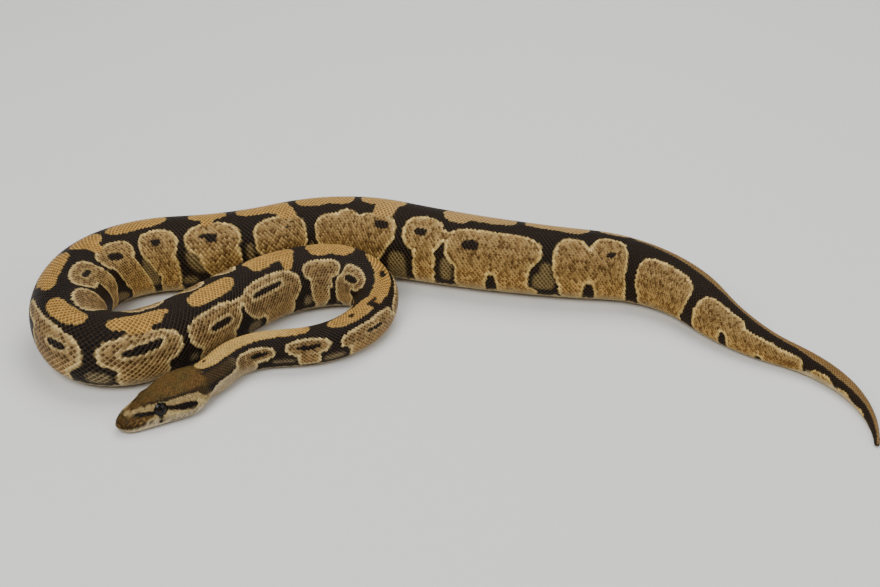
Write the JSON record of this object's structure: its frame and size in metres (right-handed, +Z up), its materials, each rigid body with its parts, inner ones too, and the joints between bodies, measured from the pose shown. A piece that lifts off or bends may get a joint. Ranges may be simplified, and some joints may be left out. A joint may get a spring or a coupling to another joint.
{
  "type": "coiled ball python",
  "caption": "Still, life-size ball python lying in an open coil, its head low in front with the mouth closed and its tail stretched out to one side.",
  "frame": {"origin": "on the floor, under the middle of the whole model's box", "axes": "+Z up from the floor; +X from the left bend of the coil towards the tail, along the longest side of the box; +Y from the side where the head lies towards the long back run of the body"},
  "size_m": [0.3988, 0.1868, 0.0373],
  "materials": {
    "head_skin": "small smooth scales, satin, olive brown above with a pale stripe through each side",
    "jaw_skin": "smooth lip scales, satin, cream",
    "eye": "wet gloss, near black",
    "neck_skin": "smooth overlapping scales, satin, golden brown and near black",
    "trunk_skin": "smooth overlapping scales, satin, tan blotches edged with cream on near black",
    "tail_skin": "smooth overlapping scales, satin, near black with a tan line"
  },
  "bodies": {
    "root": {"head": "head_skin", "lower_jaw": "jaw_skin", "eye_left": "eye", "eye_right": "eye", "neck": "neck_skin", "trunk_1": "trunk_skin", "trunk_2": "trunk_skin", "trunk_3": "trunk_skin", "trunk_4": "trunk_skin", "trunk_5": "trunk_skin", "trunk_6": "trunk_skin", "trunk_7": "trunk_skin", "trunk_8": "trunk_skin", "trunk_9": "trunk_skin", "tail": "tail_skin"}
  },
  "joints": []
}
